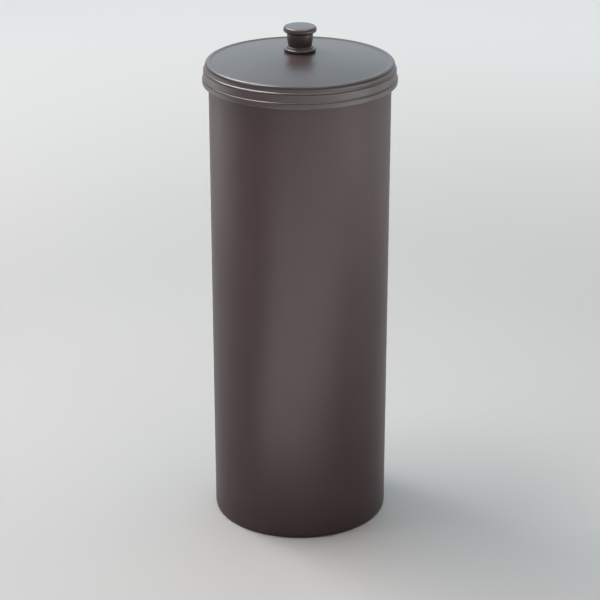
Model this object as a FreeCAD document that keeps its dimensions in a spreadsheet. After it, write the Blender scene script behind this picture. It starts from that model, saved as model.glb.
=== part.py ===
"""Covered canister for spare toilet rolls: a tapered canister and a domed lid with a screwed-on knob."""
import FreeCAD, Part
import enum
import math
import os

import Sketcher

# Driving sizes in millimetres.
SIZES = {
    # canister
    "canister_height": 378.4,
    "mouth_radius": 71.2,
    "base_radius": 70.5,
    "wall_thickness": 2.2,
    "floor_thickness": 2.4,
    "foot_height": 1.4,
    "foot_width": 6.0,
    "base_edge_round": 3.0,
    "floor_corner_round": 3.0,
    "rim_edge_round": 0.6,
    # lid skirt with its three bands
    "skirt_clearance": 0.7,
    "skirt_wall": 1.85,
    "skirt_flare": 1.5,
    "upper_band_height": 4.8,
    "middle_band_reach": 1.4,
    "middle_step_drop": 1.0,
    "middle_band_height": 6.4,
    "middle_band_round": 1.6,
    "lower_band_reach": 0.9,
    "lower_step_drop": 0.7,
    "lower_band_height": 4.1,
    "lower_band_round": 1.1,
    "skirt_edge_round": 0.5,
    # lid top with its rim bead
    "lid_wall": 2.0,
    "dome_rise": 7.9,
    "rim_bead_width": 5.0,
    "rim_bead_rise": 0.7,
    "rim_bead_slope": 1.5,
    "rim_bead_round": 1.2,
    "shoulder_round": 2.9,
    "land_margin": 0.6,
    # ring under the lid that drops into the mouth
    "plug_clearance": 0.4,
    "plug_depth": 10.0,
    "plug_wall": 1.8,
    "plug_lead": 0.8,
    # boss under the middle of the lid
    "boss_margin": 2.5,
    "boss_depth": 5.0,
    "boss_edge_round": 0.6,
    # knob
    "neck_base_radius": 9.05,
    "neck_swell": 1.12,
    "neck_height": 10.3,
    "collar_reach": 1.45,
    "collar_height": 1.2,
    "collar_round": 0.5,
    "flange_reach": 1.95,
    "flange_height": 1.9,
    "flange_round": 1.1,
    "flange_foot_round": 0.3,
    "cap_reach": 2.73,
    "cap_flare_height": 1.5,
    "cap_height": 3.8,
    "cap_crown": 0.3,
    "cap_edge_round": 2.2,
    "cap_lower_round": 1.3,
    # gasket between knob and lid
    "gasket_thickness": 1.2,
    "gasket_inset": 0.35,
    # screw and washer that hold the knob
    "screw_radius": 2.0,
    "screw_engagement": 9.0,
    "screw_head_reach": 2.0,
    "screw_head_height": 2.6,
    "screw_head_round": 1.0,
    "screw_tip_round": 0.4,
    "screw_tip_gap": 1.5,
    "recess_margin": 1.8,
    "recess_width": 0.9,
    "recess_floor": 1.0,
    "washer_reach": 1.5,
    "washer_thickness": 0.8,
    "hole_clearance": 0.25,
    "thread_clearance": 0.05,
}

# Levels above the floor, from the canister's foot up to the top of the knob.
FLOOR_TOP = "sizes.foot_height + sizes.floor_thickness"
SEAT = "sizes.canister_height"
VALLEY = SEAT + " + sizes.lid_wall"
CREST = VALLEY + " + sizes.rim_bead_rise"
LAND = VALLEY + " + sizes.dome_rise"
BOSS_END = LAND + " - sizes.boss_depth"
MIDDLE_STEP_TOP = CREST + " - sizes.upper_band_height"
MIDDLE_STEP_END = MIDDLE_STEP_TOP + " - sizes.middle_step_drop"
LOWER_STEP_TOP = MIDDLE_STEP_END + " - sizes.middle_band_height"
LOWER_STEP_END = LOWER_STEP_TOP + " - sizes.lower_step_drop"
SKIRT_END = LOWER_STEP_END + " - sizes.lower_band_height"
PLUG_END = SEAT + " - sizes.plug_depth"
FLANGE_FOOT = LAND + " + sizes.gasket_thickness"
FLANGE_TOP = FLANGE_FOOT + " + sizes.flange_height"
COLLAR_TOP = FLANGE_TOP + " + sizes.collar_height"
NECK_TOP = COLLAR_TOP + " + sizes.neck_height"
CAP_EDGE = NECK_TOP + " + sizes.cap_flare_height"
CAP_SHOULDER = CAP_EDGE + " + sizes.cap_height"
CAP_TOP = CAP_SHOULDER + " + sizes.cap_crown"
HEAD_SEAT = BOSS_END + " - sizes.washer_thickness"
HEAD_END = HEAD_SEAT + " - sizes.screw_head_height"
SCREW_TIP = FLANGE_FOOT + " + sizes.screw_engagement"
BORE_END = SCREW_TIP + " + sizes.screw_tip_gap"

# Radii that follow from the fits.
TAPER = "(sizes.mouth_radius - sizes.base_radius) / sizes.canister_height"
FLOOR_RADIUS = f"sizes.base_radius - sizes.wall_thickness + ({FLOOR_TOP}) * {TAPER}"
MOUTH_BORE = "sizes.mouth_radius - sizes.wall_thickness"
FOOT_INNER = "sizes.base_radius - sizes.foot_width"
SKIRT_INNER = "sizes.mouth_radius + sizes.skirt_clearance"
SKIRT_MOUTH = SKIRT_INNER + " + sizes.skirt_flare"
UPPER_BAND = SKIRT_INNER + " + sizes.skirt_wall"
MIDDLE_BAND = UPPER_BAND + " + sizes.middle_band_reach"
LOWER_BAND = MIDDLE_BAND + " + sizes.lower_band_reach"
VALLEY_RADIUS = UPPER_BAND + " - sizes.rim_bead_width"
BEAD_RADIUS = VALLEY_RADIUS + " + sizes.rim_bead_slope"
COLLAR_RADIUS = "sizes.neck_base_radius + sizes.collar_reach"
FLANGE_RADIUS = COLLAR_RADIUS + " + sizes.flange_reach"
NECK_TOP_RADIUS = "sizes.neck_base_radius + sizes.neck_swell"
CAP_RADIUS = NECK_TOP_RADIUS + " + sizes.cap_reach"
LAND_RADIUS = FLANGE_RADIUS + " + sizes.land_margin"
PLUG_OUTER = MOUTH_BORE + " - sizes.plug_clearance"
PLUG_INNER = PLUG_OUTER + " - sizes.plug_wall"
PLUG_NOSE = PLUG_OUTER + " - sizes.plug_lead"
SCREW_HOLE = "sizes.screw_radius + sizes.hole_clearance"
KNOB_BORE = "sizes.screw_radius + sizes.thread_clearance"
HEAD_RADIUS = "sizes.screw_radius + sizes.screw_head_reach"
RECESS_LENGTH = f"2 * ({HEAD_RADIUS} - sizes.recess_margin)"
WASHER_RADIUS = HEAD_RADIUS + " + sizes.washer_reach"
BOSS_RADIUS = WASHER_RADIUS + " + sizes.boss_margin"
GASKET_RADIUS = FLANGE_RADIUS + " - sizes.gasket_inset"

# The lid's top is part of a sphere through the edge of the knob's land and the valley inside the rim bead.
DOME_DROP = (
    f"(({VALLEY_RADIUS})^2 - ({LAND_RADIUS})^2 - sizes.dome_rise^2) / (2 * sizes.dome_rise)"
)
DOME_RADIUS = f"sqrt(({VALLEY_RADIUS})^2 + ({DOME_DROP})^2)"

# Kinds of edge that leave a corner of an outline.
LINE = "line"
ABOUT_AXIS = "arc centred on the axis"
LEVEL_WITH_END = "arc centred level with its end"

# The widths of the rim's flat crest and of the skirt's sloped steps, which hold rounds too.
CREST_WIDTH = "(sizes.rim_bead_width - sizes.rim_bead_slope)"
MIDDLE_STEP = "(sizes.middle_band_reach + sizes.middle_step_drop)"
LOWER_STEP = "(sizes.lower_band_reach + sizes.lower_step_drop)"

# The share of its wall that a round may take: alone on it, beside a second round, or on a slope.
SHARE_ALONE = "0.9"
SHARE_LARGER_OF_TWO = "0.6"
SHARE_SMALLER_OF_TWO = "0.35"
SHARE_BESIDE_SLOPE = "0.85"
SHARE_ON_SLOPE = "0.7"

NEAR = 1e-4
ON_AXIS = "0"


class Axis(enum.IntEnum):
    """The numbers by which a sketch knows its own two axes."""

    HORIZONTAL = -1
    VERTICAL = -2


class Place(enum.IntEnum):
    """The numbers by which a sketch knows the points of an edge."""

    START = 1
    END = 2
    CENTRE = 3


document = FreeCAD.newDocument("roll_canister")
sheet = document.addObject("Spreadsheet::Sheet", "sizes")
for row, (alias, size) in enumerate(SIZES.items(), start=1):
    sheet.set(f"A{row}", alias)
    sheet.set(f"B{row}", str(size))
    sheet.setAlias(f"B{row}", alias)
document.recompute()


def measure(expression):
    """The number that an expression on the sheet gives."""
    return float(sheet.evalExpression(expression))


def under_dome(radius):
    """Level of the lid's inner skin at a radius, one wall under the dome."""
    inner = f"(({DOME_RADIUS}) - sizes.lid_wall)^2 - ({radius})^2"
    return f"{VALLEY} - ({DOME_DROP}) + sqrt({inner})"


def limited(rounding, wall, share):
    """A round's size, kept to a share of the wall that it lies on."""
    return f"min(sizes.{rounding}; {wall} * {share})"


def new_body(label):
    """An empty sub-part, named as its file is."""
    body = document.addObject("PartDesign::Body", label)
    body.Label = label
    return body


def half_section(body, name):
    """A sketch on the body's own XZ plane, where the half section is drawn."""
    sketch = body.newObject("Sketcher::SketchObject", name)
    plane = [feature for feature in body.Origin.OriginFeatures if feature.Role == "XZ_Plane"][0]
    sketch.AttachmentSupport = [(plane, "")]
    sketch.MapMode = "FlatFace"
    return sketch


def arc_centre(kind, start, end):
    """Centre of the arc of this kind between two points."""
    if kind == ABOUT_AXIS:
        rise = start.y - end.y
        level = (start.x**2 + start.y**2 - end.x**2 - end.y**2) / (2 * rise)
        return FreeCAD.Vector(0, level, 0)
    across = end.x - start.x
    up = end.y - start.y
    return FreeCAD.Vector(end.x - (across**2 + up**2) / (2 * across), end.y, 0)


def add_edge(sketch, kind, start, end):
    """Draw one edge and say which of its ends is the first and which the last."""
    if kind == LINE:
        sketch.addGeometry(Part.LineSegment(start, end), False)
        return Place.START, Place.END
    centre = arc_centre(kind, start, end)
    angles = [math.atan2(point.y - centre.y, point.x - centre.x) for point in (start, end)]
    circle = Part.Circle(centre, FreeCAD.Vector(0, 0, 1), start.distanceToPoint(centre))
    sketch.addGeometry(Part.ArcOfCircle(circle, min(angles), max(angles)), False)
    if angles[0] < angles[1]:
        return Place.START, Place.END
    return Place.END, Place.START


def tie(sketch, kind, name, edge, place, expression):
    """Hold one coordinate of a point to the sheet."""
    if expression == ON_AXIS:
        axis = Axis.VERTICAL if kind == "DistanceX" else Axis.HORIZONTAL
        sketch.addConstraint(Sketcher.Constraint("PointOnObject", edge, place, axis))
        return
    value = measure(expression)
    origin = (Axis.HORIZONTAL, Place.START)
    index = sketch.addConstraint(Sketcher.Constraint(kind, *origin, edge, place, value))
    sketch.renameConstraint(index, name)
    sketch.setExpression(f"Constraints.{name}", expression)


def draw_outline(sketch, corners):
    """Close a chain of edges through the corners: name, radius, level and the edge that leaves it."""
    points = [FreeCAD.Vector(measure(radius), measure(level), 0) for _, radius, level, _ in corners]
    places = []
    for index, corner in enumerate(corners):
        following = points[(index + 1) % len(points)]
        places.append(add_edge(sketch, corner[3], points[index], following))
    for index, (name, radius, level, kind) in enumerate(corners):
        first, last = places[index]
        after = (index + 1) % len(corners)
        sketch.addConstraint(Sketcher.Constraint("Coincident", index, last, after, places[after][0]))
        tie(sketch, "DistanceX", name + "_radius", index, first, radius)
        tie(sketch, "DistanceY", name + "_level", index, first, level)
        if kind == ABOUT_AXIS:
            sketch.addConstraint(Sketcher.Constraint("PointOnObject", index, Place.CENTRE, Axis.VERTICAL))
        if kind == LEVEL_WITH_END:
            sketch.addConstraint(Sketcher.Constraint("Horizontal", index, Place.CENTRE, index, last))


def turned_body(label, corners):
    """A sub-part turned from its half section about the upright axis."""
    body = new_body(label)
    sketch = half_section(body, label + "_section")
    draw_outline(sketch, corners)
    turning = body.newObject("PartDesign::Revolution", label + "_turning")
    turning.Profile = sketch
    turning.ReferenceAxis = (sketch, ["V_Axis"])
    turning.Angle = 360
    sketch.Visibility = False
    document.recompute()
    return body


def ring_edges(shape, corners, wanted):
    """Names of the ring edges that the wanted corners of an outline were turned into."""
    places = [(measure(radius), measure(level)) for name, radius, level, _ in corners if name in wanted]
    names = []
    for number, edge in enumerate(shape.Edges, start=1):
        if edge.Degenerated or not isinstance(edge.Curve, Part.Circle):
            continue
        ring = (edge.Curve.Radius, edge.Curve.Center.z)
        if any(math.dist(ring, place) < NEAR for place in places):
            names.append(f"Edge{number}")
    if len(names) != len(wanted):
        raise ValueError(f"{len(names)} rings found for {wanted}")
    return names


def round_rings(body, corners, wanted, expression):
    """Round the ring edges at the wanted corners."""
    base = body.Tip
    rounding = body.newObject("PartDesign::Fillet", f"{body.Label}_{wanted[0]}_round")
    rounding.Base = (base, ring_edges(base.Shape, corners, wanted))
    rounding.setExpression("Radius", expression)
    document.recompute()


def make_canister():
    """The moulded canister: a foot ring, a raised floor and a wall that widens to a plain mouth."""
    corners = (
        ("floor_under", ON_AXIS, "sizes.foot_height", LINE),
        ("foot_recess", FOOT_INNER, "sizes.foot_height", LINE),
        ("foot_inner", FOOT_INNER, "0", LINE),
        ("base_edge", "sizes.base_radius", "0", LINE),
        ("rim_outer", "sizes.mouth_radius", SEAT, LINE),
        ("rim_inner", MOUTH_BORE, SEAT, LINE),
        ("floor_corner", FLOOR_RADIUS, FLOOR_TOP, LINE),
        ("floor_middle", ON_AXIS, FLOOR_TOP, LINE),
    )
    body = turned_body("canister_body", corners)
    rim_round = limited("rim_edge_round", "sizes.wall_thickness", SHARE_SMALLER_OF_TWO)
    round_rings(body, corners, ("base_edge",), limited("base_edge_round", "sizes.foot_width", SHARE_ALONE))
    round_rings(body, corners, ("floor_corner",), "sizes.floor_corner_round")
    round_rings(body, corners, ("rim_outer", "rim_inner"), rim_round)
    return body


def make_lid():
    """The moulded lid: dome, rim bead, banded skirt, locating ring and a boss with the screw's hole."""
    corners = (
        ("hole_top", SCREW_HOLE, LAND, LINE),
        ("land_edge", LAND_RADIUS, LAND, ABOUT_AXIS),
        ("valley", VALLEY_RADIUS, VALLEY, LINE),
        ("bead_top", BEAD_RADIUS, CREST, LINE),
        ("shoulder", UPPER_BAND, CREST, LINE),
        ("middle_step_top", UPPER_BAND, MIDDLE_STEP_TOP, LINE),
        ("middle_step_end", MIDDLE_BAND, MIDDLE_STEP_END, LINE),
        ("lower_step_top", MIDDLE_BAND, LOWER_STEP_TOP, LINE),
        ("lower_step_end", LOWER_BAND, LOWER_STEP_END, LINE),
        ("skirt_edge", LOWER_BAND, SKIRT_END, LINE),
        ("skirt_mouth", SKIRT_MOUTH, SKIRT_END, LINE),
        ("seat_outer", SKIRT_INNER, SEAT, LINE),
        ("seat_inner", PLUG_OUTER, SEAT, LINE),
        ("plug_lead_start", PLUG_OUTER, PLUG_END + " + 2 * sizes.plug_lead", LINE),
        ("plug_nose", PLUG_NOSE, PLUG_END, LINE),
        ("plug_end", PLUG_INNER, PLUG_END, LINE),
        ("plug_root", PLUG_INNER, under_dome(PLUG_INNER), ABOUT_AXIS),
        ("boss_root", BOSS_RADIUS, under_dome(BOSS_RADIUS), LINE),
        ("boss_edge", BOSS_RADIUS, BOSS_END, LINE),
        ("hole_end", SCREW_HOLE, BOSS_END, LINE),
    )
    body = turned_body("lid_shell", corners)
    shoulder_wall = f"min(sizes.upper_band_height; {CREST_WIDTH})"
    shoulder_round = limited("shoulder_round", shoulder_wall, SHARE_BESIDE_SLOPE)
    middle_round = limited("middle_band_round", MIDDLE_STEP, SHARE_ON_SLOPE)
    lower_round = limited("lower_band_round", LOWER_STEP, SHARE_ON_SLOPE)
    round_rings(body, corners, ("shoulder",), shoulder_round)
    round_rings(body, corners, ("bead_top",), limited("rim_bead_round", "sizes.rim_bead_slope", SHARE_ALONE))
    round_rings(body, corners, ("middle_step_end",), middle_round)
    round_rings(body, corners, ("lower_step_end",), lower_round)
    round_rings(body, corners, ("skirt_edge", "skirt_mouth"), "sizes.skirt_edge_round")
    round_rings(body, corners, ("boss_edge",), limited("boss_edge_round", "sizes.boss_margin", SHARE_ALONE))
    return body


def make_knob():
    """The knob: base flange, collar, waisted neck and a rounded cap, bored from below for its screw."""
    corners = (
        ("bore_mouth", KNOB_BORE, FLANGE_FOOT, LINE),
        ("flange_foot", FLANGE_RADIUS, FLANGE_FOOT, LINE),
        ("flange_edge", FLANGE_RADIUS, FLANGE_TOP, LINE),
        ("collar_foot", COLLAR_RADIUS, FLANGE_TOP, LINE),
        ("collar_edge", COLLAR_RADIUS, COLLAR_TOP, LINE),
        ("neck_foot", "sizes.neck_base_radius", COLLAR_TOP, LEVEL_WITH_END),
        ("neck_top", NECK_TOP_RADIUS, NECK_TOP, LINE),
        ("cap_lower", CAP_RADIUS, CAP_EDGE, LINE),
        ("cap_edge", CAP_RADIUS, CAP_SHOULDER, ABOUT_AXIS),
        ("cap_top", ON_AXIS, CAP_TOP, LINE),
        ("bore_middle", ON_AXIS, BORE_END, LINE),
        ("bore_end", KNOB_BORE, BORE_END, LINE),
    )
    body = turned_body("knob", corners)
    foot_round = limited("flange_foot_round", "sizes.flange_height", SHARE_SMALLER_OF_TWO)
    flange_round = limited("flange_round", "sizes.flange_height", SHARE_LARGER_OF_TWO)
    cap_lower_round = limited("cap_lower_round", "sizes.cap_height", SHARE_SMALLER_OF_TWO)
    cap_edge_round = limited("cap_edge_round", "sizes.cap_height", SHARE_LARGER_OF_TWO)
    round_rings(body, corners, ("flange_edge",), flange_round)
    round_rings(body, corners, ("flange_foot",), foot_round)
    round_rings(body, corners, ("collar_edge",), limited("collar_round", "sizes.collar_height", SHARE_ALONE))
    round_rings(body, corners, ("cap_lower",), cap_lower_round)
    round_rings(body, corners, ("cap_edge",), cap_edge_round)
    return body


def make_gasket():
    """The thin black gasket that the knob's flange stands on."""
    corners = (
        ("lower_inner", SCREW_HOLE, LAND, LINE),
        ("lower_outer", GASKET_RADIUS, LAND, LINE),
        ("upper_outer", GASKET_RADIUS, FLANGE_FOOT, LINE),
        ("upper_inner", SCREW_HOLE, FLANGE_FOOT, LINE),
    )
    return turned_body("knob_gasket", corners)


def cut_recess(body, name, length, width):
    """Cut one bar of the screw's cross recess up into its head."""
    before = body.Shape.Volume
    bar = body.newObject("PartDesign::SubtractiveBox", name)
    bar.setExpression("Length", length)
    bar.setExpression("Width", width)
    bar.setExpression("Height", "sizes.screw_head_height - sizes.recess_floor")
    bar.setExpression("Placement.Base.x", f"-({length}) / 2")
    bar.setExpression("Placement.Base.y", f"-({width}) / 2")
    bar.setExpression("Placement.Base.z", HEAD_END)
    document.recompute()
    if body.Shape.Volume >= before:
        raise ValueError(name + " cuts nothing")


def make_screw():
    """The pan-head screw, its head under the lid and its shank up in the knob."""
    corners = (
        ("head_middle", ON_AXIS, HEAD_END, LINE),
        ("head_edge", HEAD_RADIUS, HEAD_END, LINE),
        ("head_seat", HEAD_RADIUS, HEAD_SEAT, LINE),
        ("shank_root", "sizes.screw_radius", HEAD_SEAT, LINE),
        ("tip_edge", "sizes.screw_radius", SCREW_TIP, LINE),
        ("tip_middle", ON_AXIS, SCREW_TIP, LINE),
    )
    body = turned_body("knob_screw", corners)
    head_round = limited("screw_head_round", "sizes.screw_head_height", SHARE_ALONE)
    tip_round = limited("screw_tip_round", "sizes.screw_radius", SHARE_ALONE)
    round_rings(body, corners, ("head_edge",), head_round)
    round_rings(body, corners, ("tip_edge",), tip_round)
    cut_recess(body, "recess_bar_long", RECESS_LENGTH, "sizes.recess_width")
    cut_recess(body, "recess_bar_cross", "sizes.recess_width", RECESS_LENGTH)
    return body


def make_washer():
    """The flat washer that spreads the screw's pull over the boss."""
    corners = (
        ("lower_inner", SCREW_HOLE, HEAD_SEAT, LINE),
        ("lower_outer", WASHER_RADIUS, HEAD_SEAT, LINE),
        ("upper_outer", WASHER_RADIUS, BOSS_END, LINE),
        ("upper_inner", SCREW_HOLE, BOSS_END, LINE),
    )
    return turned_body("screw_washer", corners)


bodies = [make_canister(), make_lid(), make_knob(), make_gasket(), make_screw(), make_washer()]
document.recompute()

for feature in document.Objects:
    if "Invalid" in feature.State or "Error" in feature.State:
        raise ValueError(f"{feature.Label} failed: {feature.State}")
for body in bodies:
    if body.Shape.isNull() or not body.Shape.isValid():
        raise ValueError(f"{body.Label} has no valid shape")

os.makedirs("parts", exist_ok=True)
for body in bodies:
    body.Shape.exportStep(f"parts/{body.Label}.step")
    box = body.Shape.optimalBoundingBox()
    print(f"{body.Label}: {len(body.Shape.Solids)} solid, volume {body.Shape.Volume:.0f} mm3,")
    print(f"    radius {box.XMax:.2f}, from {box.ZMin:.2f} to {box.ZMax:.2f}")
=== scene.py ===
# %% [markdown]
# # A covered canister for spare toilet rolls
# The object is a tall moulded canister with a domed lift-off lid and a small screwed-on knob.
# The CAD model is loaded first as a fixed frame: it holds the true places, sizes and moving bodies.
# Everything made below is in metres in that same frame, so no piece has to be fitted afterwards.

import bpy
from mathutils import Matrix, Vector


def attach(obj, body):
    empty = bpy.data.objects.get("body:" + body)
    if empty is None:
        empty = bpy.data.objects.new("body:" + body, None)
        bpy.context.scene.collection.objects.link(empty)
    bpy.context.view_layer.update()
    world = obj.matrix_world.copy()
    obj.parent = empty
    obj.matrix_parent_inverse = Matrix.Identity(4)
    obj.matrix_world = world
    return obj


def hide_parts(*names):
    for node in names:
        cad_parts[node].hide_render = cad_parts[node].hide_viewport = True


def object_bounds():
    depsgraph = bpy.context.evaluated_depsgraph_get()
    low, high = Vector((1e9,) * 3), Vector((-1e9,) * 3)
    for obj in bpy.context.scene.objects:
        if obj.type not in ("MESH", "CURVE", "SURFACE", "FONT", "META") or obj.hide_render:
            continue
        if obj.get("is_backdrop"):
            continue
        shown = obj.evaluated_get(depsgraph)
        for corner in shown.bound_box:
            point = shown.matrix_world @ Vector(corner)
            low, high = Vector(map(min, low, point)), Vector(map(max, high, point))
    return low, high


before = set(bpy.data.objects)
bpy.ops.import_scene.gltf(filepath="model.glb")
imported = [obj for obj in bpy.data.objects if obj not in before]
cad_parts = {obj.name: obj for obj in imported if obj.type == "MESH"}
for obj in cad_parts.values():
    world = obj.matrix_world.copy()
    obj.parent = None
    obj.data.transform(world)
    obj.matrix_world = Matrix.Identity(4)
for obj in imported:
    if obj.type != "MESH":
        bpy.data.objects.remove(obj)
cad_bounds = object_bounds()
print("CAD box in metres", [[round(value, 4) for value in corner] for corner in cad_bounds])

# %% [markdown]
# ## Camera
# The photograph looks down at the canister from standing height, through a long lens.
# A focal length, a pitch and a place were fitted to the measured outline of the lid, wall and base.
# The fit needs no lens shift, so the other views of the model stay centred too.

# %% Camera
import bmesh
import bpy
import math
from collections import namedtuple
from mathutils import Vector

CAMERA_LENS_MM = 125.186
CAMERA_PITCH_DOWN = 22.161
CAMERA_PLACE = (0.0, -1.5664, 0.8184)

scene = bpy.context.scene
camera = bpy.data.objects.new("camera", bpy.data.cameras.new("camera"))
camera.data.lens = CAMERA_LENS_MM
camera.location = CAMERA_PLACE
camera.rotation_euler = (math.radians(90 - CAMERA_PITCH_DOWN), 0, 0)
scene.collection.objects.link(camera)
scene.camera = camera
scene.view_settings.view_transform = "Standard"
print("camera", CAMERA_LENS_MM, "mm, looking", CAMERA_PITCH_DOWN, "degrees down")

# %% [markdown]
# ## Sockets that can be calculated with
# Node trees are easier to read as sums than as lists of nodes and links.
# This class wraps one output socket: an operator on it adds a Math node, and node() adds any other node.
# The same class builds the materials and the Geometry Nodes tree below.


# %% Socket arithmetic
class Wire:
    """An output socket of a node tree."""

    def __init__(self, tree, socket=None):
        self.tree = tree
        self.socket = socket

    def feed(self, socket, value):
        """Link a wire to an input socket, or set a plain value on it."""
        if isinstance(value, Wire):
            self.tree.links.new(value.socket, socket)
        else:
            socket.default_value = value

    def node(self, kind, settings, inputs, output=0):
        """Add a node from its type, its settings and what its sockets take, and return one output."""
        made = self.tree.nodes.new(kind)
        for name, value in settings.items():
            setattr(made, name, value)
        for key, value in inputs.items():
            self.feed(made.inputs[key], value)
        return Wire(self.tree, made.outputs[output] if made.outputs else None)

    def math(self, operation, first, second):
        """Add a Math node on two wires, or on a wire and a number."""
        return self.node("ShaderNodeMath", {"operation": operation}, {0: first, 1: second})

    def __add__(self, other):
        return self.math("ADD", self, other)

    def __sub__(self, other):
        return self.math("SUBTRACT", self, other)

    def __rsub__(self, other):
        return self.math("SUBTRACT", other, self)

    def __mul__(self, other):
        return self.math("MULTIPLY", self, other)

    __radd__ = __add__
    __rmul__ = __mul__


print("sockets can be added, subtracted and multiplied")

# %% [markdown]
# ## Patterns that the finishes share
# Moulded plastic is never quite even: it has a fine spark-eroded grain, faint flow marks and handling marks,
# which also paint a highlight line on the lid's lower lip.
# Painted images could show these, but they would stretch on a turned piece.
# Noise and cell patterns on Object coordinates keep their real size on every piece.
# step_between turns such a pattern into a mask with soft edges.

# %% Patterns
HARD_EDGE = 0.001


def object_place(start):
    """The point on the piece, in metres."""
    return start.node("ShaderNodeTexCoord", {}, {}, output="Object")


def noise(place, scale, detail=2.0, roughness=0.5):
    """Cloudy pattern between 0 and 1, with about `scale` clouds to the metre."""
    inputs = {"Vector": place, "Scale": scale, "Detail": detail, "Roughness": roughness}
    return place.node("ShaderNodeTexNoise", {}, inputs, output="Fac")


def stretched(place, factors):
    """The same point with each axis scaled, which draws a pattern out along an axis."""
    return place.node("ShaderNodeMapping", {"vector_type": "POINT"}, {"Vector": place, "Scale": factors})


def step_between(value, low, high):
    """A smooth step from 0 at low to 1 at high."""
    settings = {"interpolation_type": "SMOOTHSTEP"}
    return value.node("ShaderNodeMapRange", settings, {"Value": value, "From Min": low, "From Max": high})


def specks(place, cells, size, share):
    """Tiny round dots: one in some of the cells, about `cells` of them to the metre."""
    inputs = {"Vector": place, "Scale": cells}
    distance = place.node("ShaderNodeTexVoronoi", {}, inputs, output="Distance")
    colour = place.node("ShaderNodeTexVoronoi", {}, inputs, output="Color")
    chance = place.node("ShaderNodeSeparateColor", {}, {"Color": colour}, output="Red")
    reach = size * cells
    near = 1 - step_between(distance, reach / 2, reach)
    return near * step_between(chance, 1 - share, 1 - share + HARD_EDGE)


def worn_edge(start):
    """How far a point lies on a rounded edge that hands touch, from 0 to 1; on the lid's lower lip it also
    marks a painted highlight.
    """
    settings = {"attribute_type": "GEOMETRY", "attribute_name": "wear"}
    return start.node("ShaderNodeAttribute", settings, {}, output="Fac")


print("patterns are ready")


# %% Colours and skins
def shade(colour, factor, lift=0.0):
    """A colour made darker or paler by a factor, lifted towards grey, and opaque."""
    return [value * factor + lift for value in colour] + [1.0]


def blend_colour(factor, first, second):
    """Mix two colours: the first where the factor is 0, the second where it is 1."""
    inputs = {"Factor": factor, 6: first, 7: second}
    return factor.node("ShaderNodeMix", {"data_type": "RGBA"}, inputs, output=2)


def raised(height):
    """The normal of a skin that is raised by a height in metres."""
    return height.node("ShaderNodeBump", {}, {"Height": height, "Strength": 1.0, "Distance": 1.0})


def new_material(name):
    """An empty material, and a wire to start its nodes from."""
    material = bpy.data.materials.new(name)
    material.use_nodes = True
    material.node_tree.nodes.clear()
    return material, Wire(material.node_tree)


def close_material(material, inputs):
    """Send a Principled surface with these inputs to the material's output."""
    start = Wire(material.node_tree)
    surface = start.node("ShaderNodeBsdfPrincipled", {}, inputs, output="BSDF")
    start.node("ShaderNodeOutputMaterial", {}, {"Surface": surface})
    print("finish", material.name, "with", len(material.node_tree.nodes), "nodes")
    return material


print("colours and skins are ready")

# %% [markdown]
# ## Bronze-brown plastic
# The canister and its lid are moulded from one dark bronze-brown plastic with a satin skin.
# The wall has a fine grain that blurs reflections. The lid is smoother, a little greyer and mirrors the knob.
# One function makes both, since they differ only in colour, gloss and depth of grain.
# The number after each pattern says how much of it shows.

# %% Moulded plastic
FLOW_STRETCH = (60.0, 60.0, 5.0)
DUST_COLOUR = [0.22, 0.20, 0.19, 1.0]


def bronze_plastic(name, colour, gloss, shine, grain_depth):
    """Satin plastic: its colour, its roughness, its specular level and how deep its grain is, in metres."""
    material, start = new_material(name)
    place = object_place(start)
    cloud = noise(place, scale=22.0, detail=3.0)
    flow = noise(stretched(place, FLOW_STRETCH), scale=1.0, detail=3.0)
    grain = noise(place, scale=1500.0, detail=2.0, roughness=0.6)
    ripple = noise(place, scale=130.0, detail=1.0)
    dust = specks(place, cells=75.0, size=0.0007, share=0.05)
    edge = worn_edge(start)
    # Edges that hands rub are painted paler. Along the lid's lower lip this pale edge also stands for a
    # painted highlight line.
    rubbing = edge * step_between(noise(place, scale=90.0, detail=4.0), low=0.2, high=0.6)
    wear = step_between(rubbing, low=0.55, high=1.0)

    mottle = step_between(cloud * 0.7 + flow * 0.3, low=0.3, high=0.7)
    tone = blend_colour(mottle, shade(colour, 0.90), shade(colour, 1.10))
    tone = blend_colour(wear * 0.8, tone, shade(colour, 1.8, lift=0.03))
    tone = blend_colour(dust * 0.5, tone, DUST_COLOUR)
    roughness = gloss + (grain - 0.5) * 0.10 + (flow - 0.5) * 0.05 - edge * 0.05 + dust * 0.2
    height = grain * grain_depth + ripple * (grain_depth * 1.2)
    inputs = {"Base Color": tone, "Roughness": roughness, "Normal": raised(height)}
    inputs["Specular IOR Level"] = shine
    return close_material(material, inputs)


BRONZE = (0.047, 0.0235, 0.0235)
LID_BRONZE = (0.044, 0.0255, 0.025)
WALL_GRAIN = 0.000012
LID_GRAIN = 0.000005
canister_plastic = bronze_plastic(
    "canister_plastic_finish", BRONZE, gloss=0.42, shine=0.45, grain_depth=WALL_GRAIN
)
lid_plastic = bronze_plastic("lid_plastic_finish", LID_BRONZE, gloss=0.35, shine=0.7, grain_depth=LID_GRAIN)

# %% [markdown]
# ## Knob lacquer, rubber and steel
# The knob looks darker and glossier than the plastic, like lacquer over turned metal.
# The gasket under it is plain black rubber, and its screw and washer are zinc-plated steel.
# Turned and plated parts carry fine rings about their axis, so their pattern follows the distance from it.

# %% Knob lacquer
KNOB_BRONZE = (0.046, 0.027, 0.022)
KNOB_ROUGHNESS = 0.33
KNOB_SHINE = 0.75
PEEL_DEPTH = 0.000001


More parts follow.
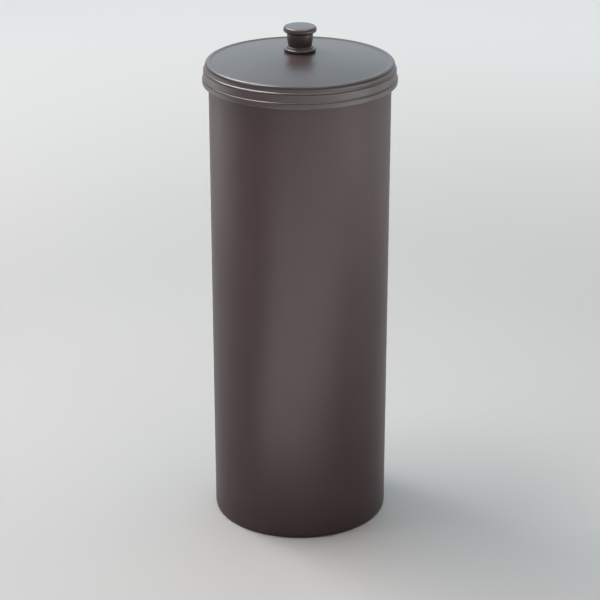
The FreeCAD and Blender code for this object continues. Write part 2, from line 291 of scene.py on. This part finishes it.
def knob_lacquer(name, colour):
    """Semi-gloss lacquer with a little orange peel, and rubbed edges."""
    material, start = new_material(name)
    place = object_place(start)
    cloud = noise(place, scale=120.0, detail=3.0)
    peel = noise(place, scale=900.0, detail=1.0)
    wear = worn_edge(start) * step_between(noise(place, scale=260.0, detail=4.0), low=0.35, high=0.75)
    tone = blend_colour(cloud, shade(colour, 0.85), shade(colour, 1.15))
    tone = blend_colour(wear * 0.5, tone, shade(colour, 1.8, lift=0.01))
    roughness = KNOB_ROUGHNESS + (cloud - 0.5) * 0.08
    inputs = {"Base Color": tone, "Roughness": roughness, "Normal": raised(peel * PEEL_DEPTH)}
    inputs["Specular IOR Level"] = KNOB_SHINE
    return close_material(material, inputs)


knob_finish = knob_lacquer("knob_lacquer_finish", KNOB_BRONZE)

# %% Rubber and steel
RUBBER_TONES = [0.008, 0.008, 0.008, 1.0], [0.018, 0.017, 0.016, 1.0]
RUBBER_ROUGHNESS = 0.62
RUBBER_GRAIN = 0.00001
ZINC_TONES = [0.46, 0.46, 0.47, 1.0], [0.66, 0.66, 0.67, 1.0]
ZINC_ROUGHNESS = 0.28
RING_DEPTH = 0.000004


def turned_rings(place, count):
    """Fine rings about the upright axis, with about `count` of them to the metre."""
    flat_place = stretched(place, (1.0, 1.0, 0.0))
    settings = {"operation": "LENGTH"}
    distance = flat_place.node("ShaderNodeVectorMath", settings, {0: flat_place}, output="Value")
    settings = {"noise_dimensions": "1D"}
    return distance.node("ShaderNodeTexNoise", settings, {"W": distance, "Scale": count}, output="Fac")


def black_rubber(name):
    """Matt black rubber with a fine bloom."""
    material, start = new_material(name)
    place = object_place(start)
    bloom = noise(place, scale=420.0, detail=4.0)
    tone = blend_colour(bloom, *RUBBER_TONES)
    normal = raised(noise(place, scale=2600.0) * RUBBER_GRAIN)
    roughness = RUBBER_ROUGHNESS + bloom * 0.2
    return close_material(material, {"Base Color": tone, "Roughness": roughness, "Normal": normal})


def zinc_steel(name):
    """Bright zinc plating over turned steel, a little cloudy."""
    material, start = new_material(name)
    place = object_place(start)
    rings = turned_rings(place, count=5200.0)
    cloud = noise(place, scale=480.0, detail=3.0)
    tone = blend_colour(cloud * 0.6 + rings * 0.4, *ZINC_TONES)
    inputs = {"Base Color": tone, "Metallic": 1.0, "Roughness": ZINC_ROUGHNESS + cloud * 0.16}
    inputs["Normal"] = raised(rings * RING_DEPTH)
    return close_material(material, inputs)


gasket_finish = black_rubber("gasket_rubber_finish")
steel_finish = zinc_steel("fixing_steel_finish")

# %% [markdown]
# ## A tree that turns a half section
# Canister, lid and knob are all round, so each is one half section turned about the upright axis.
# Spin or Screw could turn it too, but a Geometry Nodes tree also rounds every corner to its own radius first.
# The corners' radii and wear ride on the section's points as attributes, and the tree carries them over.

# %% Turning tree
MERGE_WITHIN = 2e-6


def add_input(tree, name, kind, value=None):
    """One named input of a tree."""
    socket = tree.interface.new_socket(name=name, in_out="INPUT", socket_type=kind)
    if value is not None:
        socket.default_value = value


def make_turning_tree():
    """The tree that rounds a section's corners and turns it about the axis."""
    tree = bpy.data.node_groups.new("turned_piece", "GeometryNodeTree")
    tree.interface.new_socket(name="Geometry", in_out="OUTPUT", socket_type="NodeSocketGeometry")
    add_input(tree, "Half section", "NodeSocketGeometry")
    add_input(tree, "Path radius", "NodeSocketFloat", 0.05)
    add_input(tree, "Facets around", "NodeSocketInt", 256)
    add_input(tree, "Facets in a round", "NodeSocketInt", 8)
    add_input(tree, "Finish", "NodeSocketMaterial")
    entry = tree.nodes.new("NodeGroupInput").outputs
    given = {socket.name: Wire(tree, socket) for socket in entry if socket.name}
    start = Wire(tree)

    corner_round = start.node(
        "GeometryNodeInputNamedAttribute", {"data_type": "FLOAT"}, {"Name": "round"}, output="Attribute"
    )
    section = start.node("GeometryNodeMeshToCurve", {}, {"Mesh": given["Half section"]})
    rounding = {"Curve": section, "Count": given["Facets in a round"], "Radius": corner_round}
    rounding["Limit Radius"] = True
    section = start.node("GeometryNodeFilletCurve", {"mode": "POLY"}, rounding)
    circle = {"Resolution": given["Facets around"], "Radius": given["Path radius"]}
    path = start.node("GeometryNodeCurvePrimitiveCircle", {"mode": "RADIUS"}, circle)
    skin = start.node("GeometryNodeCurveToMesh", {}, {"Curve": path, "Profile Curve": section})
    skin = start.node("GeometryNodeMergeByDistance", {}, {"Geometry": skin, "Distance": MERGE_WITHIN})
    skin = start.node("GeometryNodeSetShadeSmooth", {}, {"Geometry": skin})
    skin = start.node("GeometryNodeRealizeInstances", {}, {"Geometry": skin})
    skin = start.node("GeometryNodeSetMaterial", {}, {"Geometry": skin, "Material": given["Finish"]})
    start.node("NodeGroupOutput", {}, {"Geometry": skin})
    return tree


turning_tree = make_turning_tree()
print("turning tree with", len(turning_tree.nodes), "nodes")

# %% [markdown]
# ## From corners to a section
# A section is written as its corners: radius, height and rounding in millimetres, and wear from 0 to 1, which
# on the lid's lower lip also paints a highlight line.
# Before it is turned, each straight run gets points just beside its roundings and then at an even spacing.
# Those keep smooth shading flat on the flats, and give even faces in place of long slivers.

# %% Corners and arcs
MILLIMETRE = 0.001
Corner = namedtuple("Corner", "radius height rounding wear", defaults=(0.0, 0.0))


def flat(corner):
    """A corner's place in the plane of its section."""
    return Vector((corner.radius, corner.height))


def arc_points(start, end, middle_height, count):
    """Corners along an arc centred on the axis at a height, between two corners and without them."""
    angles = [math.atan2(corner.height - middle_height, corner.radius) for corner in (start, end)]
    reach = math.hypot(start.radius, start.height - middle_height)
    inner = [angles[0] + (angles[1] - angles[0]) * step / count for step in range(1, count)]
    return [Corner(reach * math.cos(angle), middle_height + reach * math.sin(angle)) for angle in inner]


print("a corner has", ", ".join(Corner._fields))

# %% Even runs
BESIDE_ROUND = 0.25
EVEN_SPACING = 9.0


def reach_of_round(before, corner, after):
    """How far a corner's rounding reaches along its runs, and a little further."""
    if not corner.rounding:
        return 0.0
    turn = abs((flat(corner) - flat(before)).angle_signed(flat(after) - flat(corner)))
    return corner.rounding * math.tan(turn / 2) + BESIDE_ROUND


def even_run(start, end, start_gap, end_gap):
    """Points along a straight run: one beside each rounding, and even ones between."""
    run = flat(end) - flat(start)
    room = run.length - start_gap - end_gap
    if room <= BESIDE_ROUND:
        return []
    count = max(1, math.ceil(room / EVEN_SPACING))
    places = [(start_gap + room * step / count) / run.length for step in range(count + 1)]
    points = [flat(start) + run * place for place in places if 0 < place < 1]
    return [Corner(point.x, point.y) for point in points]


def filled_section(corners, closed):
    """The corners with the extra points along their straight runs."""
    total = len(corners)
    gaps = []
    for index, corner in enumerate(corners):
        gaps.append(reach_of_round(corners[index - 1], corner, corners[(index + 1) % total]))
    filled = []
    for index, corner in enumerate(corners):
        filled.append(corner)
        if closed or index < total - 1:
            after = (index + 1) % total
            filled += even_run(corner, corners[after], gaps[index], gaps[after])
    return filled


print("sections get points every", EVEN_SPACING, "mm")

# %% [markdown]
# ## Turning a piece
# The section becomes a small mesh of edges, the tree turns it, and the result is kept as a plain mesh.
# The path that it is turned along may have any radius, because the section is shifted by as much first.
# A signed volume shows whether the faces point outwards, and open edges would show a seam that isn't closed.


# %% Plain meshes
def plain_mesh(piece):
    """Replace a piece's live modifier by the mesh that it gives."""
    depsgraph = bpy.context.evaluated_depsgraph_get()
    evaluated = piece.evaluated_get(depsgraph)
    mesh = bpy.data.meshes.new_from_object(evaluated, preserve_all_data_layers=True, depsgraph=depsgraph)
    edges_only = piece.data
    piece.modifiers.clear()
    piece.data = mesh
    mesh.name = piece.name
    bpy.data.meshes.remove(edges_only)


def inspect(piece):
    """Turn the faces outwards and say what the piece measures."""
    work = bmesh.new()
    work.from_mesh(piece.data)
    if work.calc_volume(signed=True) < 0:
        bmesh.ops.reverse_faces(work, faces=work.faces)
    volume = work.calc_volume(signed=True) / MILLIMETRE**3
    open_edges = sum(1 for edge in work.edges if not edge.is_manifold)
    work.to_mesh(piece.data)
    work.free()
    print(piece.name, len(piece.data.polygons), "faces,", round(volume), "mm3,", open_edges, "open edges")


print("pieces can be made plain and measured")


# %% Turning
def section_mesh(name, corners, closed, path_radius):
    """A mesh of edges through the corners, with their rounding and wear as attributes."""
    edges = [(index, index + 1) for index in range(len(corners) - 1)]
    if closed:
        edges.append((len(corners) - 1, 0))
    places = [
        ((corner.radius - path_radius) * MILLIMETRE, -corner.height * MILLIMETRE, 0) for corner in corners
    ]
    mesh = bpy.data.meshes.new(name + "_section")
    mesh.from_pydata(places, edges, [])
    rounds = mesh.attributes.new("round", "FLOAT", "POINT")
    wears = mesh.attributes.new("wear", "FLOAT", "POINT")
    for index, corner in enumerate(corners):
        rounds.data[index].value = corner.rounding * MILLIMETRE
        wears.data[index].value = corner.wear
    return mesh


def turned_piece(name, corners, closed, path_radius, facets, finish):
    """One round piece from its half section."""
    mesh = section_mesh(name, filled_section(corners, closed), closed, path_radius)
    piece = bpy.data.objects.new(name, mesh)
    scene.collection.objects.link(piece)
    turning = piece.modifiers.new("turning", "NODES")
    turning.node_group = turning_tree
    values = {"Path radius": path_radius * MILLIMETRE, "Facets around": facets, "Finish": finish}
    for item in turning_tree.interface.items_tree:
        if item.in_out == "INPUT" and item.name in values:
            turning[item.identifier] = values[item.name]
    plain_mesh(piece)
    inspect(piece)
    return piece


print("ready to turn")

# %% [markdown]
# ## The canister
# One moulding: a foot ring, a raised floor with the small dimple of its gate, and a wall that widens upwards.
# The wall ends in a plain rounded rim, which the lid covers.
# A cylinder with a Solidify modifier would come close, but one section gives all of it as a closed skin.

# %% Canister
CANISTER_HEIGHT = 378.4
MOUTH_RADIUS = 71.2
BASE_RADIUS = 70.5
WALL = 2.2
FOOT_HEIGHT = 1.4
FOOT_WIDTH = 6.0
FLOOR_THICKNESS = 2.4
GATE_RADIUS = 5.0
GATE_DEPTH = 0.4
MOUTH_BORE = MOUTH_RADIUS - WALL
FOOT_INNER = BASE_RADIUS - FOOT_WIDTH
FLOOR_TOP = FOOT_HEIGHT + FLOOR_THICKNESS
gate_top = FOOT_HEIGHT + GATE_DEPTH
floor_radius = BASE_RADIUS - WALL + FLOOR_TOP * (MOUTH_RADIUS - BASE_RADIUS) / CANISTER_HEIGHT

CANISTER_CORNERS = [
    Corner(0.0, gate_top),
    Corner(GATE_RADIUS - GATE_DEPTH, gate_top, rounding=0.25),
    Corner(GATE_RADIUS, FOOT_HEIGHT, rounding=0.25),
    Corner(FOOT_INNER, FOOT_HEIGHT, rounding=0.4),
    Corner(FOOT_INNER, 0.0, rounding=0.4, wear=0.6),
    Corner(BASE_RADIUS, 0.0, rounding=3.0, wear=0.5),
    Corner(MOUTH_RADIUS, CANISTER_HEIGHT, rounding=0.6, wear=0.8),
    Corner(MOUTH_BORE, CANISTER_HEIGHT, rounding=0.6, wear=0.6),
    Corner(floor_radius, FLOOR_TOP, rounding=3.0),
    Corner(0.0, FLOOR_TOP),
]
canister = turned_piece(
    "canister", CANISTER_CORNERS, closed=False, path_radius=40.0, facets=256, finish=canister_plastic
)
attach(canister, "canister")
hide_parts("canister_body")

# %% [markdown]
# ## The lid
# A shallow dome falls from the knob's land to a groove inside a rounded rim bead.
# Its skirt steps outwards in three bands, whose rounded shoulders catch the light as thin bright lines.
# Under it are the ring that drops into the mouth and the boss for the screw.
# A Bevel modifier would round every edge alike, while the section gives each shoulder its own radius.

# %% Lid skirt
SKIRT_CLEARANCE = 0.7
SKIRT_WALL = 1.85
SKIRT_INNER = MOUTH_RADIUS + SKIRT_CLEARANCE
UPPER_BAND = SKIRT_INNER + SKIRT_WALL
SHOULDER_ROUND = 2.9
SHOULDER_WEAR = 0.5
SKIRT_EDGE_ROUND = 0.5
LOWEST_BAND_HEIGHT = 4.1
Step = namedtuple("Step", "band_height reach drop hollow_round shoulder_round")
SKIRT_STEPS = (
    Step(band_height=4.8, reach=1.4, drop=1.0, hollow_round=0.5, shoulder_round=1.6),
    Step(band_height=6.4, reach=0.9, drop=0.7, hollow_round=0.4, shoulder_round=1.1),
)


def skirt_corners(crest):
    """Corners down the outside of the skirt: each band falls straight, and a sloped step leads out of it."""
    radius = UPPER_BAND
    height = crest
    corners = [Corner(radius, height, SHOULDER_ROUND, SHOULDER_WEAR)]
    for step in SKIRT_STEPS:
        height -= step.band_height
        corners.append(Corner(radius, height, step.hollow_round))
        radius += step.reach
        height -= step.drop
        corners.append(Corner(radius, height, step.shoulder_round, SHOULDER_WEAR))
    # The lower lip's full edge value gives real rubbing and also a painted highlight line along the skirt's
    # bottom edge.
    corners.append(Corner(radius, height - LOWEST_BAND_HEIGHT, SKIRT_EDGE_ROUND, wear=1.0))
    return corners


print("the skirt has", len(SKIRT_STEPS), "steps")

# %% Lid dome
LID_WALL = 2.0
BEAD_WIDTH = 5.0
LAND_RADIUS = 13.05
DOME_RISE = 7.9
DOME_STEPS = 40
VALLEY = Corner(UPPER_BAND - BEAD_WIDTH, CANISTER_HEIGHT + LID_WALL, rounding=0.8)
LAND_EDGE = Corner(LAND_RADIUS, VALLEY.height + DOME_RISE)
dome_drop = (VALLEY.radius**2 - LAND_EDGE.radius**2 - DOME_RISE**2) / (2 * DOME_RISE)
dome_middle = VALLEY.height - dome_drop
dome_reach = math.hypot(VALLEY.radius, dome_drop)


def under_dome(radius):
    """A corner on the lid's inner skin, one wall under the dome."""
    height = dome_middle + math.sqrt((dome_reach - LID_WALL) ** 2 - radius**2)
    return Corner(radius, height, rounding=0.8)


print("the dome is part of a sphere with a radius of", round(dome_reach), "mm")

# %% Lid
BEAD_RISE = 0.7
BEAD_SLOPE = 1.5
SKIRT_FLARE = 1.5
PLUG_CLEARANCE = 0.4
PLUG_WALL = 1.8
PLUG_DEPTH = 10.0
PLUG_LEAD = 0.8
BOSS_RADIUS = 8.0
BOSS_DEPTH = 5.0
HOLE_RADIUS = 2.25
HOLE_ROUND = 0.15
BEAD_CREST = VALLEY.height + BEAD_RISE
PLUG_OUTER = MOUTH_BORE - PLUG_CLEARANCE
PLUG_INNER = PLUG_OUTER - PLUG_WALL
PLUG_END = CANISTER_HEIGHT - PLUG_DEPTH
BOSS_END = LAND_EDGE.height - BOSS_DEPTH
skirt = skirt_corners(BEAD_CREST)
plug_root = under_dome(PLUG_INNER)
boss_root = under_dome(BOSS_RADIUS)

LID_CORNERS = [
    Corner(HOLE_RADIUS, LAND_EDGE.height, HOLE_ROUND),
    LAND_EDGE,
    *arc_points(LAND_EDGE, VALLEY, dome_middle, DOME_STEPS),
    VALLEY,
    Corner(VALLEY.radius + BEAD_SLOPE, BEAD_CREST, rounding=1.2, wear=0.3),
    *skirt,
    Corner(SKIRT_INNER + SKIRT_FLARE, skirt[-1].height, SKIRT_EDGE_ROUND, wear=0.3),
    Corner(SKIRT_INNER, CANISTER_HEIGHT, rounding=0.4),
    Corner(PLUG_OUTER, CANISTER_HEIGHT, rounding=0.4),
    Corner(PLUG_OUTER, PLUG_END + 2 * PLUG_LEAD, rounding=0.5),
    Corner(PLUG_OUTER - PLUG_LEAD, PLUG_END, rounding=0.3, wear=0.3),
    Corner(PLUG_INNER, PLUG_END, rounding=0.4),
    plug_root,
    *arc_points(plug_root, boss_root, dome_middle, DOME_STEPS),
    boss_root,
    Corner(BOSS_RADIUS, BOSS_END, rounding=0.6, wear=0.2),
    Corner(HOLE_RADIUS, BOSS_END, HOLE_ROUND),
]
lid = turned_piece("lid", LID_CORNERS, closed=True, path_radius=40.0, facets=256, finish=lid_plastic)
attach(lid, "lid")
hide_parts("lid_shell")

# %% [markdown]
# ## The knob
# A base flange, a thin collar, a neck that swells upwards and a cap with a rounded edge, all in one piece.
# Subdivision would round it too, but it would also soften the crisp steps at the collar.
# The neck follows an arc that ends upright, so its centre lies level with the neck's top.
# The cap's crown has only a few points, which leaves its rounded edge the room that it needs.

# %% Knob neck and cap
GASKET_THICKNESS = 1.2
FLANGE_HEIGHT = 1.9
COLLAR_HEIGHT = 1.2
NECK_RADIUS = 9.05
NECK_HEIGHT = 10.3
NECK_SWELL = 1.12
NECK_STEPS = 12
CAP_REACH = 2.73
CAP_FLARE = 1.5
CAP_HEIGHT = 3.8
CAP_CROWN = 0.3
CROWN_STEPS = 4
FLANGE_FOOT = LAND_EDGE.height + GASKET_THICKNESS
FLANGE_TOP = FLANGE_FOOT + FLANGE_HEIGHT
COLLAR_TOP = FLANGE_TOP + COLLAR_HEIGHT
NECK_FOOT = Corner(NECK_RADIUS, COLLAR_TOP, rounding=0.3)
NECK_TOP = Corner(NECK_RADIUS + NECK_SWELL, COLLAR_TOP + NECK_HEIGHT, rounding=0.3)
CAP_LOWER = Corner(NECK_TOP.radius + CAP_REACH, NECK_TOP.height + CAP_FLARE, rounding=1.3, wear=0.6)
CAP_EDGE = Corner(CAP_LOWER.radius, CAP_LOWER.height + CAP_HEIGHT, rounding=2.2, wear=0.9)
CAP_TOP = Corner(0.0, CAP_EDGE.height + CAP_CROWN)
neck_reach = (NECK_HEIGHT**2 + NECK_SWELL**2) / (2 * NECK_SWELL)
cap_middle = CAP_TOP.height - (CAP_EDGE.radius**2 + CAP_CROWN**2) / (2 * CAP_CROWN)


def neck_points(count):
    """Corners down the neck, between its top and its foot."""
    falls = [NECK_HEIGHT * step / count for step in range(1, count)]
    centre = NECK_TOP.radius - neck_reach
    return [Corner(centre + math.sqrt(neck_reach**2 - fall**2), NECK_TOP.height - fall) for fall in falls]


print("the neck's arc has a radius of", round(neck_reach, 1), "mm")

# %% Knob
COLLAR_REACH = 1.45
FLANGE_REACH = 1.95
BORE_RADIUS = 2.05
BORE_DEPTH = 10.5
COLLAR_RADIUS = NECK_RADIUS + COLLAR_REACH
FLANGE_RADIUS = COLLAR_RADIUS + FLANGE_REACH
BORE_END = FLANGE_FOOT + BORE_DEPTH

KNOB_CORNERS = [
    CAP_TOP,
    *arc_points(CAP_TOP, CAP_EDGE, cap_middle, CROWN_STEPS),
    CAP_EDGE,
    CAP_LOWER,
    NECK_TOP,
    *neck_points(NECK_STEPS),
    NECK_FOOT,
    Corner(COLLAR_RADIUS, COLLAR_TOP, rounding=0.5, wear=0.4),
    Corner(COLLAR_RADIUS, FLANGE_TOP, rounding=0.25),
    Corner(FLANGE_RADIUS, FLANGE_TOP, rounding=1.1, wear=0.9),
    Corner(FLANGE_RADIUS, FLANGE_FOOT, rounding=0.3),
    Corner(BORE_RADIUS, FLANGE_FOOT, rounding=0.15),
    Corner(BORE_RADIUS, BORE_END),
    Corner(0.0, BORE_END),
]
knob = turned_piece(
    "knob_turned", KNOB_CORNERS, closed=False, path_radius=8.0, facets=160, finish=knob_finish
)
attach(knob, "lid")
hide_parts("knob")

# %% [markdown]
# ## Gasket, screw and washer
# These small parts already have their right shape in the CAD model, so they stay.
# They only get the finishes made above, in place of the plain CAD colours.

# %% Small parts
for node_name, finish in (
    ("knob_gasket", gasket_finish),
    ("knob_screw", steel_finish),
    ("screw_washer", steel_finish),
):
    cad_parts[node_name].material_slots[0].material = finish
    print(node_name, "wears", finish.name)

# %% [markdown]
# ## Floor
# A plain pale floor carries the object and its soft contact shadow.
# It is wide enough to fill the picture from low views too, so no backdrop is needed.
# Its colour is painted paler with the distance from the object, as painted light where the lamps hardly
# reach.

# %% Floor
FLOOR_HALF = 40.0
NEAR_REACH = 0.45
FAR_REACH = 1.8
NEAR_TONES = [0.435, 0.405, 0.39, 1.0], [0.465, 0.435, 0.42, 1.0]
FAR_TONE = [0.95, 0.86, 0.82, 1.0]
FLOOR_ROUGHNESS = 0.75
floor_mesh = bpy.data.meshes.new("floor")
floor_corners = [(x * FLOOR_HALF, y * FLOOR_HALF, 0) for x, y in ((-1, -1), (1, -1), (1, 1), (-1, 1))]
floor_mesh.from_pydata(floor_corners, [], [(0, 1, 2, 3)])
floor = bpy.data.objects.new("floor", floor_mesh)
scene.collection.objects.link(floor)
floor_finish, floor_start = new_material("pale_floor")
floor_place = object_place(floor_start)
floor_cloud = noise(floor_place, scale=3.0, detail=3.0)
away = floor_place.node("ShaderNodeVectorMath", {"operation": "LENGTH"}, {0: floor_place}, output="Value")
near_tone = blend_colour(floor_cloud, *NEAR_TONES)
# The far floor's pale colour is painted light that stands in for lamps that don't reach so far.
floor_tone = blend_colour(step_between(away, NEAR_REACH, FAR_REACH), near_tone, FAR_TONE)
floor_inputs = {"Base Color": floor_tone, "Roughness": FLOOR_ROUGHNESS}
floor_mesh.materials.append(close_material(floor_finish, floor_inputs))
floor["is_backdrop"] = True

# %% [markdown]
# ## Light
# A soft key stands on the left.
# A long strip over the left draws the bright lines along the lid's rim and steps.
# A broad panel over the right fills the side in shadow.
# White boards lie on the floor or stand just above it, outside the picture.
# The satin wall mirrors them as its faint light bands, which lamps from above alone would not draw.

# %% Light
BOARD_HEIGHT = 0.01
UP_FROM_BOARD = 1.0


def soft_light(name, place, target, size, power, turn=0.0, spread=180.0):
    """An area light that looks at a point, turned about its own axis, and only seen by what it lights."""
    lamp = bpy.data.objects.new(name, bpy.data.lights.new(name, "AREA"))
    lamp.data.shape = "RECTANGLE"
    lamp.data.size, lamp.data.size_y = size
    lamp.data.energy = power
    lamp.data.spread = math.radians(spread)
    lamp.visible_camera = False
    lamp.location = place
    lamp.rotation_euler = (Vector(target) - Vector(place)).to_track_quat("-Z", "Y").to_euler()
    lamp.rotation_euler.rotate_axis("Z", math.radians(turn))
    scene.collection.objects.link(lamp)
    print(name, power, "W")


def floor_board(name, x, y, size, power, turn=0.0):
    """A board on the floor that glows straight up."""
    soft_light(name, (x, y, BOARD_HEIGHT), (x, y, UP_FROM_BOARD), size, power, turn)


print("lamps and boards can be placed")

# %% Lamps and boards
RIM_MIDDLE = (0, 0, 0.38)
UNDER_RIM = (0, 0, 0.37)
WALL_FRONT = (0.05, -0.05, 0.36)
soft_light("key_left", (-1.7, -0.75, 1.67), UNDER_RIM, size=(0.8, 0.8), power=4.0)
soft_light("strip_over_left", (-0.525, 0.245, 1.295), RIM_MIDDLE, size=(1.05, 0.3), power=14.5, turn=45.0)
floor_board("board_floor", 0.24, -0.68, size=(1.2, 0.7), power=5.0, turn=20.0)
soft_light("board_right", (0.80, -0.36, 0.06), WALL_FRONT, size=(0.8, 0.3), power=0.27, spread=60.0)
floor_board("board_left", -1.05, 0.35, size=(0.6, 0.9), power=2.6)
floor_board("board_far_right", 1.05, 0.25, size=(0.6, 0.9), power=2.0)
soft_light("panel_over_right", (0.4, -0.2, 1.5), RIM_MIDDLE, size=(1.2, 0.8), power=5.2)

# %% [markdown]
# ## Room
# The world stands for a pale room that glows from behind and above, a little bluish like daylight.
# That glow is what the lid and the top of the knob mirror.
# A picture of a room could light the object too, but two smooth steps are enough for plain soft light.

# %% Room
GLOW_FROM = (0.0, 0.69, 0.724)
STRAIGHT_UP = (0.0, 0.0, 1.0)
PLAIN_WHITE = [1.0, 1.0, 1.0, 1.0]
DAYLIGHT = [0.69, 0.90, 0.99, 1.0]
ROOM_STRENGTH = 0.21
GLOW_STRENGTH = 1.28
CEILING_STRENGTH = 0.1
world = bpy.data.worlds.new("pale_room")
scene.world = world
world.use_nodes = True
room = Wire(world.node_tree)
direction = room.node("ShaderNodeTexCoord", {}, {}, output="Generated")


def towards(axis):
    """How far a direction of the world points along an axis, from -1 to 1."""
    inputs = {0: direction, 1: axis}
    return room.node("ShaderNodeVectorMath", {"operation": "DOT_PRODUCT"}, inputs, output="Value")


glow = step_between(towards(GLOW_FROM), low=0.4, high=1.0)
ceiling = step_between(towards(STRAIGHT_UP), low=0.0, high=0.6)
strength = ROOM_STRENGTH + glow * GLOW_STRENGTH + ceiling * CEILING_STRENGTH
background = world.node_tree.nodes["Background"]
room.feed(background.inputs["Color"], blend_colour(glow, PLAIN_WHITE, DAYLIGHT))
room.feed(background.inputs["Strength"], strength)
print("room with", len(world.node_tree.nodes), "nodes, glowing from", GLOW_FROM)

# %% [markdown]
# ## Sizes
# The box of the dressed model is kept beside the CAD model's box, so the two can be compared. The
# dressed model may not outgrow the CAD model.

# %% Sizes
visual_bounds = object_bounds()
boxes = {"cad": [list(corner) for corner in cad_bounds], "visual": [list(corner) for corner in visual_bounds]}
print("visual box in metres", [[round(value, 4) for value in corner] for corner in visual_bounds])
